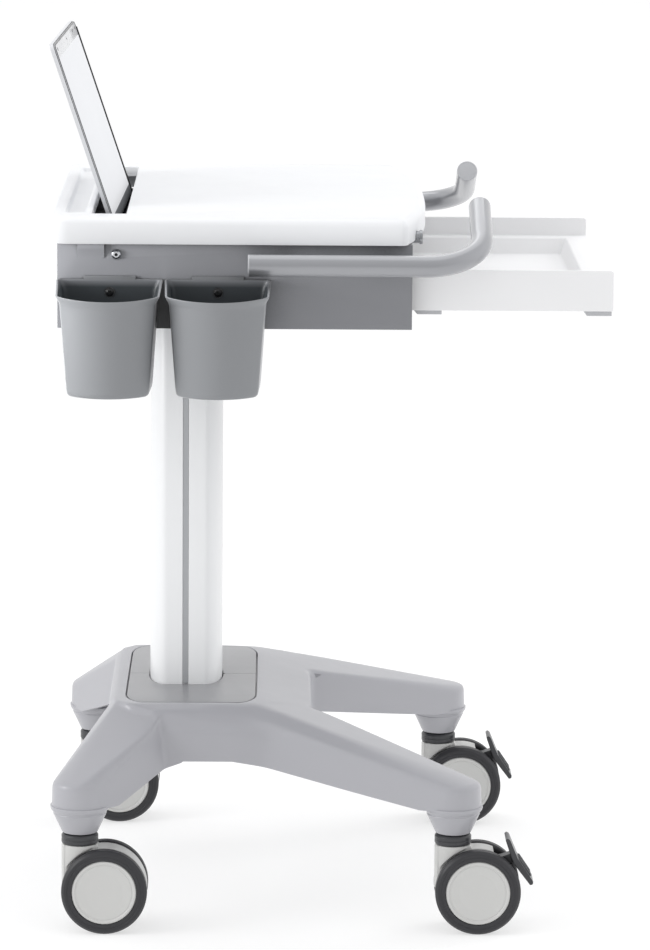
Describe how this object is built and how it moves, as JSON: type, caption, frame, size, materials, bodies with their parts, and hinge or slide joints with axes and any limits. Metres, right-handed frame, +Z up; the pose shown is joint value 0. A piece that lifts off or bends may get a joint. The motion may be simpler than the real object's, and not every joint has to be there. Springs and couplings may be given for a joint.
{
  "type": "wheeled laptop cart",
  "caption": "Height-adjustable wheeled cart: grey cast base on twin-wheel casters, white column, laptop box under a white worktop, pull-out keyboard tray, side handles and storage bins.",
  "frame": {"origin": "on the floor, under the centre of the overall box; the lift column stands 168 mm behind it and 27 mm to the right", "axes": "+Z up, +X towards the user, the way the keyboard tray pulls out, +Y to the user's right as they face the cart"},
  "size_m": [0.65, 0.7146, 1.0244],
  "materials": {
    "base_paint": "satin light grey powder coat on cast aluminium",
    "cover_plastic": "fine-textured grey moulded plastic",
    "column_paint": "smooth white coating on an extruded tube",
    "strip_grey": "matte grey insert strip",
    "inner_tube": "satin anodised inner tube",
    "steel_plain": "zinc-plated steel",
    "bracket_steel": "dark grey painted steel",
    "box_paint": "smooth mid-grey powder coat on folded sheet steel",
    "worktop_white": "smooth white moulded plastic",
    "tray_white": "satin white moulded plastic",
    "tray_trim": "light grey plastic",
    "handle_paint": "satin grey coated tube",
    "bin_plastic": "grey moulded plastic, fine texture",
    "dark_plastic": "dark grey moulded plastic",
    "tyre_rubber": "dark grey elastic tyre",
    "wheel_disc": "light grey wheel cover",
    "caster_white": "light grey nylon",
    "chrome_screw": "bright plated",
    "laptop_metal": "bead-blasted silver",
    "screen_glass": "glossy light grey screen with a dark edge"
  },
  "bodies": {
    "base": {"base_shell": "base_paint", "hub_cover_left": "cover_plastic", "hub_cover_right": "cover_plastic", "column_outer": "column_paint", "column_strip_left": "strip_grey", "column_strip_right": "strip_grey", "column_guide": "dark_plastic", "gas_spring_cylinder": "bracket_steel", "caster_stem_rear_left": "dark_plastic", "caster_stem_rear_right": "dark_plastic", "caster_stem_front_left": "dark_plastic", "caster_stem_front_right": "dark_plastic"},
    "head": {"column_inner": "inner_tube", "gas_spring_rod": "steel_plain", "head_bracket": "bracket_steel", "box_housing": "box_paint", "handle_left": "handle_paint", "handle_right": "handle_paint", "bin_rear": "bin_plastic", "bin_front": "bin_plastic", "bin_rear_screw": "dark_plastic", "bin_front_screw": "dark_plastic", "lid_screw_left": "chrome_screw", "lid_screw_right": "chrome_screw", "lock_barrel": "steel_plain", "slide_channel_left": "steel_plain", "slide_channel_right": "steel_plain", "laptop_base": "laptop_metal"},
    "tray": {"keyboard_tray": "tray_white", "tray_grip": "tray_trim", "tray_stop_bar": "tray_trim", "slide_runner_left": "dark_plastic", "slide_runner_right": "dark_plastic"},
    "worktop": {"worktop": "worktop_white"},
    "display": {"display_shell": "laptop_metal", "display_screen": "screen_glass"},
    "lock_plug": {"lock_plug": "steel_plain"},
    "release_lever": {"release_lever": "dark_plastic"},
    "caster_rear_left": {"caster_fork_rear_left": "caster_white"},
    "wheel_rear_left_left": {"tyre_rear_left_left": "tyre_rubber", "wheel_disc_rear_left_left": "wheel_disc"},
    "wheel_rear_left_right": {"tyre_rear_left_right": "tyre_rubber", "wheel_disc_rear_left_right": "wheel_disc"},
    "caster_rear_right": {"caster_fork_rear_right": "caster_white"},
    "wheel_rear_right_left": {"tyre_rear_right_left": "tyre_rubber", "wheel_disc_rear_right_left": "wheel_disc"},
    "wheel_rear_right_right": {"tyre_rear_right_right": "tyre_rubber", "wheel_disc_rear_right_right": "wheel_disc"},
    "caster_front_left": {"caster_fork_front_left": "caster_white"},
    "wheel_front_left_left": {"tyre_front_left_left": "tyre_rubber", "wheel_disc_front_left_left": "wheel_disc"},
    "wheel_front_left_right": {"tyre_front_left_right": "tyre_rubber", "wheel_disc_front_left_right": "wheel_disc"},
    "pedal_front_left": {"brake_pedal_front_left": "dark_plastic"},
    "caster_front_right": {"caster_fork_front_right": "caster_white"},
    "wheel_front_right_left": {"tyre_front_right_left": "tyre_rubber", "wheel_disc_front_right_left": "wheel_disc"},
    "wheel_front_right_right": {"tyre_front_right_right": "tyre_rubber", "wheel_disc_front_right_right": "wheel_disc"},
    "pedal_front_right": {"brake_pedal_front_right": "dark_plastic"}
  },
  "joints": [
    {"name": "lift", "type": "slide", "parent": "base", "child": "head", "axis": [0, 0, 1], "range_m": [0, 0.3]},
    {"name": "tray_slide", "type": "slide", "parent": "head", "child": "tray", "axis": [1, 0, 0], "range_m": [-0.227, 0]},
    {"name": "worktop_lift_off", "type": "slide", "parent": "head", "child": "worktop", "axis": [-0.3206, 0, 0.9472], "range_m": [0, 0.262]},
    {"name": "display_tilt", "type": "hinge", "parent": "head", "child": "display", "pos_m": [-0.24248, 0.02675, 0.7995], "axis": [-0.0209, -0.9998, 0], "range_deg": [-14, 12]},
    {"name": "lock_turn", "type": "hinge", "parent": "head", "child": "lock_plug", "pos_m": [0.09152, -0.20425, 0.81], "axis": [-1, 0, 0], "range_deg": [0, 90]},
    {"name": "release_pull", "type": "hinge", "parent": "head", "child": "release_lever", "pos_m": [0.02352, 0.22675, 0.7127], "axis": [0, 0, 1], "range_deg": [0, 10]},
    {"name": "swivel_rear_left", "type": "hinge", "parent": "base", "child": "caster_rear_left", "pos_m": [-0.28698, -0.24275, 0.1], "axis": [0, 0, 1], "continuous": true},
    {"name": "roll_rear_left_left", "type": "hinge", "parent": "caster_rear_left", "child": "wheel_rear_left_left", "pos_m": [-0.25798, -0.24275, 0.05], "axis": [0, 1, 0], "continuous": true},
    {"name": "roll_rear_left_right", "type": "hinge", "parent": "caster_rear_left", "child": "wheel_rear_left_right", "pos_m": [-0.25798, -0.24275, 0.05], "axis": [0, 1, 0], "continuous": true},
    {"name": "swivel_rear_right", "type": "hinge", "parent": "base", "child": "caster_rear_right", "pos_m": [-0.28698, 0.29625, 0.1], "axis": [0, 0, 1], "continuous": true},
    {"name": "roll_rear_right_left", "type": "hinge", "parent": "caster_rear_right", "child": "wheel_rear_right_left", "pos_m": [-0.25798, 0.29625, 0.05], "axis": [0, 1, 0], "continuous": true},
    {"name": "roll_rear_right_right", "type": "hinge", "parent": "caster_rear_right", "child": "wheel_rear_right_right", "pos_m": [-0.25798, 0.29625, 0.05], "axis": [0, 1, 0], "continuous": true},
    {"name": "swivel_front_left", "type": "hinge", "parent": "base", "child": "caster_front_left", "pos_m": [0.14802, -0.23765, 0.1], "axis": [0, 0, 1], "continuous": true},
    {"name": "roll_front_left_left", "type": "hinge", "parent": "caster_front_left", "child": "wheel_front_left_left", "pos_m": [0.17702, -0.23765, 0.05], "axis": [0, 1, 0], "continuous": true},
    {"name": "roll_front_left_right", "type": "hinge", "parent": "caster_front_left", "child": "wheel_front_left_right", "pos_m": [0.17702, -0.23765, 0.05], "axis": [0, 1, 0], "continuous": true},
    {"name": "brake_front_left", "type": "hinge", "parent": "caster_front_left", "child": "pedal_front_left", "pos_m": [0.20202, -0.23765, 0.082], "axis": [0, -1, 0], "range_deg": [0, 12]},
    {"name": "swivel_front_right", "type": "hinge", "parent": "base", "child": "caster_front_right", "pos_m": [0.14802, 0.29115, 0.1], "axis": [0, 0, 1], "continuous": true},
    {"name": "roll_front_right_left", "type": "hinge", "parent": "caster_front_right", "child": "wheel_front_right_left", "pos_m": [0.17702, 0.29115, 0.05], "axis": [0, 1, 0], "continuous": true},
    {"name": "roll_front_right_right", "type": "hinge", "parent": "caster_front_right", "child": "wheel_front_right_right", "pos_m": [0.17702, 0.29115, 0.05], "axis": [0, 1, 0], "continuous": true},
    {"name": "brake_front_right", "type": "hinge", "parent": "caster_front_right", "child": "pedal_front_right", "pos_m": [0.20202, 0.29115, 0.082], "axis": [0, -1, 0], "range_deg": [0, 12]}
  ]
}
